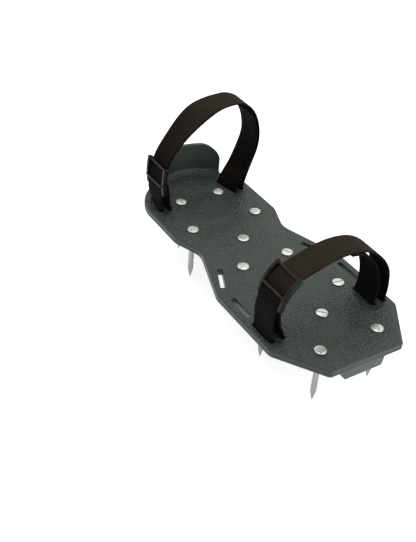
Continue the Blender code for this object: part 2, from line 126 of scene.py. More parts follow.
def turned(name, profile, steps):
    # a closed solid of revolution from (radius, height) points, top to bottom
    bm = bmesh.new()
    rings = []
    for radius, height in profile:
        if radius < 1e-7:
            rings.append([bm.verts.new((0, 0, height))])
            continue
        angles = [2 * math.pi * i / steps for i in range(steps)]
        rings.append([bm.verts.new((radius * math.cos(a), radius * math.sin(a), height)) for a in angles])
    for upper, lower in zip(rings, rings[1:]):
        for i in range(steps):
            j = (i + 1) % steps
            corners = [upper[i % len(upper)], upper[j % len(upper)]]
            corners += [lower[j % len(lower)], lower[i % len(lower)]]
            corners = list(dict.fromkeys(corners))          # a ring on the axis is one point
            if len(corners) > 2:
                bm.faces.new(corners)
    return addObject(name, meshFrom(bm, name))


# geometry node tools

def newTree(name, inputs):
    tree = bpy.data.node_groups.new(name, "GeometryNodeTree")
    tree.interface.new_socket("Geometry", in_out="INPUT", socket_type="NodeSocketGeometry")
    for label, (kind, value) in inputs.items():
        socket = tree.interface.new_socket(label, in_out="INPUT", socket_type="NodeSocket" + kind)
        if value is not None:
            socket.default_value = value
    tree.interface.new_socket("Geometry", in_out="OUTPUT", socket_type="NodeSocketGeometry")
    return tree, tree.nodes.new("NodeGroupInput"), tree.nodes.new("NodeGroupOutput")


def finishTree(tree, geometry, material, groupOut):
    real = tree.nodes.new("GeometryNodeRealizeInstances")
    paint = tree.nodes.new("GeometryNodeSetMaterial")
    tree.links.new(geometry, real.inputs[0])
    tree.links.new(real.outputs[0], paint.inputs["Geometry"])
    tree.links.new(material, paint.inputs["Material"])
    tree.links.new(paint.outputs[0], groupOut.inputs[0])


def runTree(carrier, tree, values, name):
    # sets the inputs by identifier, evaluates, and keeps the result as a plain mesh
    modifier = carrier.modifiers.new("nodes", "NODES")
    modifier.node_group = tree
    for item in tree.interface.items_tree:
        if item.in_out == "INPUT" and item.name in values:
            modifier[item.identifier] = values[item.name]
    carrier.update_tag()
    mesh = evaluatedMesh(carrier)
    mesh.name = name
    bpy.data.objects.remove(carrier, do_unlink=True)
    return addObject(name, mesh)


# materials

class Nodes:
    # a short way to write a shader: each call adds one node and links what it is given
    def __init__(self, name):
        self.material = bpy.data.materials.new(name)
        self.material.use_nodes = True
        self.tree = self.material.node_tree
        self.shader = self.tree.nodes["Principled BSDF"]

    def add(self, kind, settings=None, **inputs):
        node = self.tree.nodes.new("ShaderNode" + kind)
        for key, value in (settings or {}).items():
            setattr(node, key, value)
        for key, value in inputs.items():
            self.put(node, key, value)
        return node

    def put(self, node, key, value):
        key = int(key[1:]) if key[0] == "i" and key[1:].isdigit() else key.replace("_", " ")
        if isinstance(value, bpy.types.Node):
            value = value.outputs[0]
        if isinstance(value, bpy.types.NodeSocket):
            self.tree.links.new(value, node.inputs[key])
        else:
            node.inputs[key].default_value = value

    def math(self, operation, a, b=0.0, clamp=False):
        return self.add("Math", {"operation": operation, "use_clamp": clamp}, i0=a, i1=b)

    def ramp(self, value, low, high, start=0.0, stop=1.0):
        return self.add("MapRange", {"interpolation_type": "SMOOTHSTEP"},
                        Value=value, From_Min=low, From_Max=high, To_Min=start, To_Max=stop)

    def mix(self, share, a, b):
        node = self.add("Mix", {"data_type": "RGBA"})
        self.put(node, "Factor", share)
        self.put(node, "i6", a)
        self.put(node, "i7", b)
        return node.outputs[2]

    def noise(self, coordinates, scale, detail=3.0, roughness=0.5):
        return self.add("TexNoise", None, Vector=coordinates, Scale=scale, Detail=detail, Roughness=roughness)

    def objectPlace(self):
        return self.add("TexCoord").outputs["Object"]

    def bump(self, height, depth, strength=1.0, after=None):
        node = self.add("Bump", None, Height=height, Distance=depth, Strength=strength)
        if after is not None:
            self.put(node, "Normal", after)
        return node


mouldedGreen = {
    "dark": (0.013, 0.021, 0.015, 1),
    "light": (0.019, 0.029, 0.021, 1),
    # painted highlight: the lighter colour painted on raised pebble crowns of the top face
    "crownHighlight": (0.066, 0.078, 0.066, 1),
    "mottleScale": 75.0,
    "swirlScale": 210.0,
    "grainScale": 520.0,
    # the scale of the noise that picks which crowns get the painted highlight
    "highlightScatterScale": 620.0,
    "mistScale": 900.0,
    "grainDepth": 0.00070,
    "mistDepth": 0.00003,
    "topRoughness": 0.46,
    "sideRoughness": 0.40,
    "specular": 0.42,
}


def makeMouldedGreen():
    look = mouldedGreen
    n = Nodes("mouldedGreen")
    place = n.objectPlace()
    height = n.add("SeparateXYZ", None, Vector=place).outputs["Z"]
    aboveEdge = n.ramp(height, soleTop - 0.25 * mm, soleTop - 0.10 * mm)
    underCup = n.ramp(height, soleTop + 1 * mm, soleTop + 7 * mm, 1.0, 0.0)
    grained = n.math("MULTIPLY", aboveEdge, underCup)          # the top face and the foot of the cup
    mottle = n.noise(place, look["mottleScale"], 4.0, 0.6)
    fine = n.noise(place, look["highlightScatterScale"], 2.0, 0.6)
    base = n.mix(n.ramp(mottle, 0.35, 0.68), look["dark"], look["light"])
    pebbles = n.add("TexVoronoi", {"feature": "SMOOTH_F1"},
                    Vector=place, Scale=look["grainScale"], Smoothness=0.6)
    crowns = n.ramp(pebbles, 0.15, 0.75, 1.0, 0.0)
    # painted highlight: pebble crowns on the top face, picked at random by noise, are painted lighter as if
    # catching light
    crownHighlights = n.math("MULTIPLY", n.math("MULTIPLY", crowns, n.ramp(fine, 0.45, 0.75)), grained)
    colour = n.mix(crownHighlights, base, look["crownHighlight"])
    n.put(n.shader, "Base Color", colour)
    rough = n.ramp(grained, 0.0, 1.0, look["sideRoughness"], look["topRoughness"])
    n.put(n.shader, "Roughness", n.math("ADD", rough, n.ramp(mottle, 0.3, 0.7, -0.04, 0.05)))
    swirl = n.noise(place, look["swirlScale"], 3.0, 0.6)
    grainHeight = n.math("MULTIPLY", n.math("ADD", crowns, n.math("MULTIPLY", swirl, 0.7)), grained)
    soft = n.bump(n.noise(place, look["mistScale"], 2.0), look["mistDepth"], 0.5)
    n.put(n.shader, "Normal", n.bump(grainHeight, look["grainDepth"], 0.9, soft))
    n.shader.inputs["Specular IOR Level"].default_value = look["specular"]
    return n.material


zincPlate = {
    "bright": (0.62, 0.625, 0.60, 1),
    "dull": (0.50, 0.505, 0.485, 1),
    # painted shade: the darker colour the spike is painted where it stands in the sole's shade
    "shank": (0.22, 0.22, 0.21, 1),
    "roughness": (0.30, 0.46),
    "cloudScale": 420.0,
    "drawnScale": 3200.0,
    "drawnDepth": 0.00002,
    # painted shade: how far under the sole the spike starts to be painted darker, and where it is fully
    # painted dark
    "shadeDepths": (5 * mm, 7 * mm),
}


def makeZincPlate():
    look = zincPlate
    n = Nodes("zincPlate")
    place = n.objectPlace()
    cloud = n.noise(place, look["cloudScale"], 4.0, 0.65)
    plate = n.mix(n.ramp(cloud, 0.38, 0.70), look["bright"], look["dull"])
    height = n.add("SeparateXYZ", None, Vector=place).outputs["Z"]
    start, stop = look["shadeDepths"]
    # painted shade: the spike is painted darker below the sole, where the sole shades it
    shadeUnderSole = n.ramp(height, soleFoot - stop, soleFoot - start, 1.0, 0.0)
    n.put(n.shader, "Base Color", n.mix(n.math("MULTIPLY", shadeUnderSole, 0.8), plate, look["shank"]))
    n.put(n.shader, "Roughness", n.ramp(cloud, 0.35, 0.75, *look["roughness"]))
    streaks = n.add("Mapping", {"vector_type": "POINT"}, Vector=place, Scale=(1.0, 1.0, 0.12))
    drawn = n.noise(streaks, look["drawnScale"], 2.0)
    n.put(n.shader, "Normal", n.bump(drawn, look["drawnDepth"], 0.35))
    n.shader.inputs["Metallic"].default_value = 1.0
    return n.material


wovenBlack = {
    # painted shade: the colour of the valleys between the yarns
    "deep": (0.0012, 0.0011, 0.0009, 1),
    "black": (0.0044, 0.0037, 0.0029, 1),
    # painted light: the yarn colour where the band faces up, painted lighter as light from above falls on it
    "faded": (0.041, 0.030, 0.022, 1),
    "fuzz": (0.070, 0.054, 0.040, 1),
    "columnPitch": 1.30 * mm,
    "rowPitch": 1.60 * mm,
    "valleyRoughness": 0.92,
    "yarnRoughness": 0.80,
    "depth": 0.00045,
    "fibreScale": (900.0, 5200.0, 1.0),
    "fibreDepth": 0.00005,
    "wearScale": 260.0,
    "specular": 0.05,
    "sheen": 0.02,
    "sheenRoughness": 0.45,
    "sheenTint": (0.42, 0.32, 0.24, 1),
}


def makeWovenBlack():
    # yarn rows run across the band and warp columns along it: u is metres along, v metres across
    look = wovenBlack
    n = Nodes("wovenBlack")
    along = n.add("UVMap", {"uv_map": "weave"})
    split = n.add("SeparateXYZ", None, Vector=along)
    u, v = split.outputs["X"], split.outputs["Y"]
    columns = n.math("MULTIPLY", v, 1 / look["columnPitch"])
    rows = n.math("MULTIPLY", u, 1 / look["rowPitch"])
    offset = n.math("MULTIPLY", n.math("FLOOR", columns), 0.5)
    within = n.math("FRACT", columns)
    stagger = n.math("FRACT", n.math("ADD", rows, offset))
    barrel = n.math("SINE", n.math("MULTIPLY", within, math.pi))
    knuckle = n.math("SINE", n.math("MULTIPLY", stagger, math.pi))
    weave = n.math("POWER", n.math("MULTIPLY", barrel, knuckle), 0.6)
    place = n.objectPlace()
    worn = n.noise(place, look["wearScale"], 4.0, 0.65)
    fibre = n.noise(n.add("Mapping", None, Vector=along, Scale=look["fibreScale"]), 1.0, 2.0, 0.7)
    facing = n.add("SeparateXYZ", None, Vector=n.add("NewGeometry").outputs["Normal"]).outputs["Z"]
    topLightShare = n.ramp(facing, 0.40, 1.05)          # painted light: what faces up is painted lighter, as if lit by the lamp overhead
    yarn = n.mix(topLightShare, look["black"], look["faded"])
    # painted shade: the weave's valleys are painted in the deep colour, the yarn crowns keep the yarn colour
    base = n.mix(n.ramp(weave, 0.10, 0.95), look["deep"], yarn)
    strands = n.math("MULTIPLY", n.ramp(fibre, 0.50, 0.80), n.ramp(worn, 0.40, 0.75))
    # loose fibres on worn parts of the band are real wear; showing more of them where the band faces up is
    # painted top light
    looseFibresAndTopLight = n.math("MULTIPLY", strands, n.ramp(topLightShare, 0.0, 1.0, 0.04, 0.45))
    n.put(n.shader, "Base Color", n.mix(looseFibresAndTopLight, base, look["fuzz"]))
    n.put(n.shader, "Roughness", n.ramp(weave, 0.0, 1.0, look["valleyRoughness"], look["yarnRoughness"]))
    fine = n.bump(fibre, look["fibreDepth"], 0.6)
    n.put(n.shader, "Normal", n.bump(weave, look["depth"], 0.9, fine))
    n.shader.inputs["Specular IOR Level"].default_value = look["specular"]
    n.shader.inputs["Sheen Weight"].default_value = look["sheen"]
    n.shader.inputs["Sheen Roughness"].default_value = look["sheenRoughness"]
    n.shader.inputs["Sheen Tint"].default_value = look["sheenTint"]
    return n.material


acetalBlack = {
    "dark": (0.004, 0.004, 0.003, 1),
    "scuffed": (0.014, 0.014, 0.011, 1),
    "roughness": (0.26, 0.42),
    "specular": 0.16,
    "hazeScale": 180.0,
    "sandedScale": 2400.0,
    "sandedDepth": 0.00002,
}


def makeAcetalBlack():
    look = acetalBlack
    n = Nodes("acetalBlack")
    place = n.objectPlace()
    haze = n.noise(place, look["hazeScale"], 4.0, 0.6)
    sanded = n.noise(place, look["sandedScale"], 2.0)
    n.put(n.shader, "Base Color", n.mix(n.ramp(haze, 0.45, 0.75), look["dark"], look["scuffed"]))
    n.put(n.shader, "Roughness", n.ramp(haze, 0.3, 0.7, *look["roughness"]))
    n.put(n.shader, "Normal", n.bump(sanded, look["sandedDepth"], 0.5))
    n.shader.inputs["Specular IOR Level"].default_value = look["specular"]
    return n.material


greenPlastic = makeMouldedGreen()
zinc = makeZincPlate()
webbing = makeWovenBlack()
blackPlastic = makeAcetalBlack()
print("materials made")


# sole

sole = {
    "length": 300 * mm,
    "cornerSteps": 12,
    "heelSteps": 72,
    "heelHalfWidth": 54.4 * mm,
    "heelCurveY": 103 * mm,
    # half outline from toe to heel: x, y and the radius of the corner
    "corners": ((36.0, -150.0, 4.0), (64.0, -108.0, 10.0), (64.0, -30.0, 20.0), (44.1, 28.5, 20.0),
                (54.4, 56.0, 18.0)),
    # how far in and how high each line of the edge lies, from the bottom face up
    "edge": ((0.9, 0.0), (0.30, 0.12), (0.06, 0.42), (0.06, 2.05), (0.34, 2.25), (0.34, 2.55), (0.0, 2.75),
             (0.0, 5.0), (0.12, 5.55), (0.45, 6.05), (0.95, 6.38), (1.5, 6.5)),
    "rimSoft": 0.35 * mm,
    "boltHole": 2.8 * mm,
}

slots = {
    "width": 4.8 * mm,
    "corner": 1.0 * mm,
    # centre on the right side, length, and turn outwards towards the toe in degrees
    "places": ((45.6, -88.0, 27.5, 0.0), (56.9, -88.0, 27.5, 0.0), (33.2, 108.3, 27.5, 12.0),
               (41.9, 110.15, 27.5, 12.0), (55.2, -53.6, 26.5, 0.0), (48.9, -13.2, 26.0, 25.0)),
}

heelCup = {
    "halfWidth": 37.8 * mm,
    "height": 32.0 * mm,
    "wall": 3.6 * mm,
    "setIn": 1.2 * mm,
    "corner": 15.5 * mm,
    "cove": 6.0 * mm,
    "coveSteps": 8,
    "rimSoft": 1.05 * mm,
    "steps": 64,
}

toeBlock = {
    "halfWidth": 21.5 * mm,
    "footHalfWidth": 18.5 * mm,
    "back": -130.8 * mm,
    "front": -148.2 * mm,
    "depth": 11.0 * mm,
    "pocket": (9.4 * mm, 3.8 * mm, 6.0 * mm),
    "pocketPitch": 11.7 * mm,
    "pocketY": -137.2 * mm,
    "edgeSoft": 0.9 * mm,
}


def roundCorner(before, corner, after, radius, steps):
    corner = Vector(corner)
    back = (Vector(before) - corner).normalized()
    ahead = (Vector(after) - corner).normalized()
    half = back.angle(ahead) / 2
    centre = corner + (back + ahead).normalized() * (radius / math.sin(half))
    start = corner + back * (radius / math.tan(half)) - centre
    stop = corner + ahead * (radius / math.tan(half)) - centre
    turn = start.angle_signed(stop)
    return [centre + Matrix.Rotation(-turn * i / steps, 2) @ start for i in range(steps + 1)]


def heelArc(inset, startX, steps):
    wide = sole["heelHalfWidth"] - inset
    deep = sole["length"] / 2 - sole["heelCurveY"] - inset
    first = math.acos(min(1.0, startX / wide))
    angles = [first + (math.pi - 2 * first) * i / steps for i in range(steps + 1)]
    return [Vector((wide * math.cos(a), sole["heelCurveY"] + deep * math.sin(a))) for a in angles]


def soleOutline():
    corners = [(x * mm, y * mm, r * mm) for x, y, r in sole["corners"]]
    ends = [(0, -sole["length"] / 2)] + [c[:2] for c in corners]
    ends.append((sole["heelHalfWidth"], sole["heelCurveY"]))
    side = []
    for i, (x, y, radius) in enumerate(corners, start=1):
        side += roundCorner(ends[i - 1], (x, y), ends[i + 1], radius, sole["cornerSteps"])
    heel = heelArc(0, sole["heelHalfWidth"], sole["heelSteps"])
    return side + heel + [Vector((-p.x, p.y)) for p in reversed(side)]


def outlineNormals(points):
    normals = []
    for i, point in enumerate(points):
        along = (points[(i + 1) % len(points)] - points[i - 1]).normalized()
        normals.append(Vector((along.y, -along.x)))
    return normals


def soleSlab():
    outline = soleOutline()
    normals = outlineNormals(outline)
    bm = bmesh.new()
    rings = []
    for inset, height in sole["edge"]:
        ring = []
        for point, normal in zip(outline, normals):
            edge = point - normal * inset * mm
            ring.append(bm.verts.new((edge.x, edge.y, soleFoot + height * mm)))
        rings.append(ring)
    for lower, upper in zip(rings, rings[1:]):
        for i in range(len(lower)):
            j = (i + 1) % len(lower)
            bm.faces.new((lower[i], lower[j], upper[j], upper[i]))
    bm.faces.new(rings[-1])
    bm.faces.new(rings[0][::-1])
    return addObject("soleSlab", meshFrom(bm, "soleSlab"))


def roundedBlock(name, size, place, turn, corner, steps=4):
    bm = bmesh.new()
    bmesh.ops.create_cube(bm, size=1.0, matrix=Matrix.Diagonal((*size, 1)))
    upright = [e for e in bm.edges if abs(e.verts[0].co.z - e.verts[1].co.z) > size[2] / 2]
    bmesh.ops.bevel(bm, geom=upright, offset=corner, segments=steps, affect="EDGES", profile=0.5)
    bmesh.ops.transform(bm, matrix=Matrix.Translation(place) @ Matrix.Rotation(turn, 4, "Z"), verts=bm.verts)
    return addObject(name, meshFrom(bm, name))


def openingCutter():
    # one object of separate blocks and pegs: the strap slots and the spike holes
    bm = bmesh.new()
    middle = soleFoot + soleThickness / 2
    for x, y, length, turn in slots["places"]:
        for side in (1, -1):
            size = (slots["width"], length * mm, 3 * soleThickness)
            block = roundedBlock("slot", size, (side * x * mm, y * mm, middle),
                                 side * math.radians(turn), slots["corner"])
            bm.from_mesh(block.data)
            bpy.data.objects.remove(block)
    for node in spikeNodes:
        low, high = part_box(node)
        centre = (low + high) / 2
        place = Matrix.Translation((centre.x, centre.y, middle))
        hole = sole["boltHole"]
        bmesh.ops.create_cone(bm, cap_ends=True, segments=24, radius1=hole, radius2=hole,
                              depth=3 * soleThickness, matrix=place)
    return addObject("openings", meshFrom(bm, "openings"))


def heelCupWall():
    # the wall's section swept round the heel, then trimmed to a round-cornered front view
    size = heelCup
    foot = soleTop - 1.0 * mm
    top = soleTop + size["height"]
    inner, cove = size["setIn"] + size["wall"], size["cove"]
    angles = [math.radians(90 * i / size["coveSteps"]) for i in range(size["coveSteps"] + 1)]
    coveLine = [(inner + cove * (1 - math.sin(a)), soleTop + cove * (1 - math.cos(a))) for a in angles]
    section = [(size["setIn"], foot), (size["setIn"], top), (inner, top)]
    section += coveLine[::-1] + [(inner + cove, foot)]
    bm = bmesh.new()
    steps = size["steps"]
    columns = []
    for inset, height in section:
        path = heelArc(inset, size["halfWidth"] + 2 * mm, steps)
        columns.append([bm.verts.new((p.x, p.y, height)) for p in path])
    for first, second in zip(columns, columns[1:] + columns[:1]):
        for i in range(steps):
            bm.faces.new((first[i], first[i + 1], second[i + 1], second[i]))
    bm.faces.new([c[0] for c in columns])
    bm.faces.new([c[-1] for c in columns][::-1])
    wall = addObject("heelCupWall", meshFrom(bm, "heelCupWall"))

    half, low = size["halfWidth"], soleTop - 3 * mm
    corners = ((half, low), (half, top), (-half, top), (-half, low))
    arch = [Vector(corners[0])] + roundCorner(*corners[:3], size["corner"], 24)
    arch += roundCorner(*corners[1:], size["corner"], 24) + [Vector(corners[3])]
    bm = bmesh.new()
    near = [bm.verts.new((p.x, 0.05, p.y)) for p in arch]
    far = [bm.verts.new((p.x, 0.20, p.y)) for p in arch]
    bm.faces.new(near)
    bm.faces.new(far[::-1])
    for i in range(len(near)):
        j = (i + 1) % len(near)
        bm.faces.new((near[i], far[i], far[j], near[j]))
    front = addObject("cupFront", meshFrom(bm, "cupFront"))
    boolean(wall, front, "INTERSECT")
    soft = wall.modifiers.new("soft", "BEVEL")
    soft.width = size["rimSoft"]
    soft.segments = 4
    soft.limit_method = "ANGLE"
    soft.angle_limit = math.radians(55)
    wall = settle(wall)
    bpy.data.objects.remove(front)
    return wall


def toeBlockSolid():
    size = toeBlock
    bm = bmesh.new()
    bmesh.ops.create_cube(bm, size=1.0)
    for vert in bm.verts:
        low = vert.co.z < 0
        half = size["footHalfWidth"] if low else size["halfWidth"]
        y = size["front"] if vert.co.y < 0 else size["back"]
        vert.co = (math.copysign(half, vert.co.x), y, soleFoot - size["depth"] if low else soleFoot + 2 * mm)
    block = addObject("toeBlock", meshFrom(bm, "toeBlock"))
    soft = block.modifiers.new("soft", "BEVEL")
    soft.width = size["edgeSoft"]
    soft.segments = 3
    pockets = []
    for step in (-1, 0, 1):
        x, y, z = size["pocket"]
        pocket = roundedBlock("pocket", (x, y, 2 * z), (step * size["pocketPitch"], size["pocketY"],
                              soleFoot - size["depth"]), 0, 0.5 * mm)
        boolean(block, pocket)
        pockets.append(pocket)
    block = settle(block)
    for pocket in pockets:
        bpy.data.objects.remove(pocket)
    return block


def makeSole():
    slab = soleSlab()
    helpers = [heelCupWall(), toeBlockSolid(), openingCutter()]
    boolean(slab, helpers[0], "UNION")
    boolean(slab, helpers[1], "UNION")
    boolean(slab, helpers[2])
    soft = slab.modifiers.new("soft", "BEVEL")
    soft.width = sole["rimSoft"]
    soft.segments = 2
    soft.limit_method = "ANGLE"
    soft.angle_limit = math.radians(60)
    body = settle(slab, "soleMoulding")
    for helper in helpers:
        bpy.data.objects.remove(helper)
    smoothShade(body, 32)
    body.data.materials.clear()
    body.data.materials.append(greenPlastic)
    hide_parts("sole")
    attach(body, "base")
    return body


soleMoulding = makeSole()
print("sole moulded:", len(soleMoulding.data.polygons), "faces")


# spikes and nuts

spike = {
    "reach": 47.0 * mm,
    "shank": 2.5 * mm,
    "point": 11.0 * mm,
    "headRadius": 5.2 * mm,
    "headHeight": 1.1 * mm,
    # the head's rounded edge from its flat crown down: share of its radius and fall in mm
    "crown": ((0.74, 0.0), (0.84, 0.06), (0.92, 0.18), (0.975, 0.36), (1.0, 0.60)),
    "slotWidth": 1.1 * mm,
    "slotDepth": 0.5 * mm,
    "underHead": 0.3 * mm,
    # the point from its shoulder down: share of the shank's radius and of the point's length still to go
    "nose": ((1.0, 1.0), (0.97, 0.90), (0.55, 0.46), (0.20, 0.12), (0.07, 0.02)),
    "sides": 40,
    "turnSeed": 7,
}

nut = {
    "acrossFlats": 10.0 * mm,
    "height": 5.0 * mm,
    "washerFace": 0.35 * mm,
    "bore": 2.75 * mm,
    "boreMouth": 3.3 * mm,
    "edgeSoft": 0.12 * mm,
    "turnSeed": 3,
}


def spikePattern():
    # turned about Z with the sole's top face at height 0
    size = spike
    r, h, edge = size["headRadius"], size["headHeight"], size["underHead"]
    tip = -soleThickness - size["reach"]
    head = [(0, h)] + [(r * share, h - fall * mm) for share, fall in size["crown"]] + [(r - 0.1 * mm, edge)]
    s = size["shank"]
    shank = [(s + 0.05 * mm, edge), (s, 0)]
    nose = [(s * share, tip + size["point"] * left) for share, left in size["nose"]] + [(0, tip)]
    pattern = turned("spikePattern", head + shank + nose, size["sides"])
    slotSize = (4 * r, size["slotWidth"], 2 * size["slotDepth"])
    cutter = roundedBlock("headSlot", slotSize, (0, 0, h), 0, 0.1 * mm, 1)
    boolean(pattern, cutter)
    pattern = settle(pattern)
    bpy.data.objects.remove(cutter)
    smoothShade(pattern, 40)
    return pattern


def nutPattern():
    # a hexagon with turned-down corners on its lower face and a round washer face against the sole
    size = nut
    corner = size["acrossFlats"] / 2 / math.cos(math.pi / 6)
    half = size["height"] / 2
    bm = bmesh.new()
    bmesh.ops.create_cone(bm, cap_ends=True, segments=6, radius1=corner, radius2=corner, depth=size["height"])
    pattern = addObject("nutPattern", meshFrom(bm, "nutPattern"))
    across = size["acrossFlats"] / 2
    form = turned("nutForm", [(0, half), (across * 0.96, half), (across * 0.97, half - size["washerFace"]),
                              (corner - 0.25 * mm, half - size["washerFace"]), (corner, half - 0.8 * mm),
                              (corner, -half + 1.3 * mm), (corner - 0.5 * mm, -half + 0.7 * mm),
                              (across - 0.25 * mm, -half), (0, -half)], 48)
    wide, narrow = size["boreMouth"], size["bore"]
    bore = turned("nutBore", [(0, 2 * half), (wide, 2 * half), (wide, half), (narrow, half - 0.5 * mm),
                              (narrow, -half + 0.5 * mm), (wide, -half - 0.05 * mm),
                              (wide, -2 * half), (0, -2 * half)], 32)
    boolean(pattern, form, "INTERSECT")
    boolean(pattern, bore)
    soft = pattern.modifiers.new("soft", "BEVEL")
    soft.width = size["edgeSoft"]
    soft.segments = 2
    soft.limit_method = "ANGLE"
    soft.angle_limit = math.radians(35)
    pattern = settle(pattern)
    bpy.data.objects.remove(form)
    bpy.data.objects.remove(bore)
    smoothShade(pattern, 30)
    return pattern


def fixingTree():
    # one fixing on each point, turned about its own axis by a seeded random amount
    tree, groupIn, groupOut = newTree("fixings", {
        "Fixing": ("Object", None),
        "Most turn": ("Float", 6.28),
        "Seed": ("Int", 0),
        "Material": ("Material", None),
    })
    info = tree.nodes.new("GeometryNodeObjectInfo")
    info.inputs["As Instance"].default_value = True
    turn = tree.nodes.new("FunctionNodeRandomValue")
    turn.data_type = "FLOAT"
    spin = tree.nodes.new("ShaderNodeCombineXYZ")
    toPoints = tree.nodes.new("GeometryNodeMeshToPoints")
    spread = tree.nodes.new("GeometryNodeInstanceOnPoints")
    link = tree.links.new
    link(groupIn.outputs["Geometry"], toPoints.inputs["Mesh"])
    link(groupIn.outputs["Fixing"], info.inputs["Object"])
    link(groupIn.outputs["Most turn"], turn.inputs[3])
    link(groupIn.outputs["Seed"], turn.inputs["Seed"])
    link(turn.outputs[1], spin.inputs["Z"])
    link(toPoints.outputs[0], spread.inputs["Points"])
    link(info.outputs["Geometry"], spread.inputs["Instance"])
    link(spin.outputs[0], spread.inputs["Rotation"])
    finishTree(tree, spread.outputs[0], groupIn.outputs["Material"], groupOut)
    return tree


def makeFixings(tree, pattern, nodes, height, name, seed):
    bm = bmesh.new()
    for node in nodes:
        low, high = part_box(node)
        bm.verts.new(((low.x + high.x) / 2, (low.y + high.y) / 2, height))
    carrier = addObject(name + "Places", meshFrom(bm, name + "Places", False))
    made = runTree(carrier, tree, {"Fixing": pattern, "Seed": seed, "Material": zinc}, name)
    bpy.data.objects.remove(pattern)
    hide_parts(*nodes)
    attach(made, "base")
    return made


fixings = fixingTree()
spikes = makeFixings(fixings, spikePattern(), spikeNodes, soleTop, "spikes", spike["turnSeed"])
nutHeight = soleFoot - nutGap - nut["height"] / 2
nuts = makeFixings(fixings, nutPattern(), nutNodes, nutHeight, "nuts", nut["turnSeed"])
print("spikes and nuts:", len(spikes.data.polygons), "and", len(nuts.data.polygons), "faces")


# straps

band = {
    "width": 25.6 * mm,
    "thickness": 1.7 * mm,
    "selvedge": 0.55 * mm,
    "rowsPerRib": 4,
    "ribDepth": 0.09 * mm,
    "across": 24,
    "arcStep": 9,
    # how far the loop hangs under the sole, how high a leg stands straight in its slot, and how far inside
    # the strap's own curve its tucked end lies
    "loopDepth": 5.1 * mm,
    "legUpright": 7.2 * mm,
    "inset": 4.8 * mm,
}

# each strap's route in X and height over the sole's bottom face, in millimetres
frontStrap = {
    "centreY": -88.0 * mm,
    "outer": 56.9,
    "inner": 45.6,
    "arc": {"centre": (-21.5, 26.5), "radius": 36.5, "start": 180, "stop": 108, "tucked": 131},
    "before": ((-50.6, 20.5), (-47.4, 13.0)),
    "after": ((-21.0, 64.6), (-12.0, 67.3), (-3.0, 69.1), (7.0, 69.8), (16.0, 69.1), (26.2, 66.8),
              (36.0, 61.7), (44.5, 54.5), (51.2, 46.3), (56.0, 36.0), (58.0, 20.0)),
    "end": ((47.2, 15.0), (47.3, 26.0), (44.5, 38.5), (38.9, 49.8), (31.0, 59.2), (20.8, 65.3), (12.0, 67.1)),
    "flare": 0.0,
    "fades": (8.0, 8.0),
    "lean": {"angle": 0.0, "x": 0.0, "spread": 14.0 * mm, "above": 50.0 * mm},
}
heelStrap = {
    "centreY": 108.3 * mm,
    "outer": 33.2 + 8.9 * math.cos(math.radians(12.0)),
    "inner": 33.2,
    "arc": {"centre": (29.0, 26.0), "radius": 75.0, "start": 188, "stop": 153, "tucked": 173},
    "before": ((-36.4, 14.8),),
    "after": ((-28.5, 73.0), (-18.9, 83.6), (-8.7, 92.1), (1.2, 97.3), (11.5, 100.5), (21.5, 101.6),
              (31.0, 101.2), (40.6, 97.2), (48.0, 89.9), (53.0, 80.0), (55.9, 68.0), (56.3, 55.5),
              (54.3, 44.4), (50.0, 32.0), (45.0, 18.0)),
    "end": ((37.6, 15.5), (44.2, 25.5), (48.2, 35.0), (51.3, 45.0), (53.3, 55.5), (53.0, 67.0), (50.4, 77.9),
            (45.8, 86.9), (38.8, 94.2)),
    "flare": math.radians(12.0),
    "fades": (22.0, 60.0),
    # the rear edge is further out where the strap climbs from the buckle
    "lean": {"angle": math.radians(14), "x": -8.0 * mm, "spread": 16.0 * mm, "above": 50.0 * mm},
}


def arcPoints(arc, start, stop, inset=0.0):
    count = max(1, round(abs(stop - start) / band["arcStep"]))
    angles = [math.radians(start + (stop - start) * i / count) for i in range(count + 1)]
    radius = arc["radius"] - inset
    x, z = arc["centre"]
    return [(x + radius * math.cos(a), z + radius * math.sin(a)) for a in angles]


def underLoop(outer, inner):
    # down through one slot, round under the sole and up through the other
    middle, depth, upright = (outer + inner) / 2, band["loopDepth"] / mm, band["legUpright"] / mm
    quarter = (outer - inner) / 2 * 0.78
    down = [(outer, upright), (outer, upright / 2), (outer, -1.2)]
    under = [(middle + quarter, -depth * 0.87), (middle, -depth), (middle - quarter, -depth * 0.87)]
    return down + under + [(inner, -1.2), (inner, upright / 2), (inner, upright)]


def strapRoute(strap):
    arc = strap["arc"]
    loop = underLoop(strap["outer"], strap["inner"])
    route = arcPoints(arc, arc["tucked"], arc["start"] - 4, band["inset"] / mm)[:-1] + list(strap["before"])
    route += [(-x, z) for x, z in reversed(loop)]
    route += arcPoints(arc, arc["start"], arc["stop"]) + list(strap["after"])
    return route + loop + list(strap["end"])


def smoothRoute(points, steps=24):
    padded = [points[0]] + list(points) + [points[-1]]
    curve = []
    for i in range(1, len(padded) - 2):
        p0, p1, p2, p3 = (Vector(p) for p in padded[i - 1:i + 3])
        for step in range(steps):
            t = step / steps
            curve.append(((2 * p1) + (p2 - p0) * t + (2 * p0 - 5 * p1 + 4 * p2 - p3) * t * t
                          + (3 * p1 - p0 - 3 * p2 + p3) * t ** 3) / 2)
    return curve + [Vector(points[-1])]


def evenSteps(points, step):
    # points at equal distances along a line of points
    lengths = [0.0]
    for a, b in zip(points, points[1:]):
        lengths.append(lengths[-1] + (b - a).length)
    count = round(lengths[-1] / step)
    found, i = [], 0
    for k in range(count + 1):
        target = lengths[-1] * k / count
        while i < len(lengths) - 2 and lengths[i + 1] < target:
            i += 1
        share = (target - lengths[i]) / (lengths[i + 1] - lengths[i])
        found.append(points[i].lerp(points[i + 1], share))
    return found, lengths[-1]


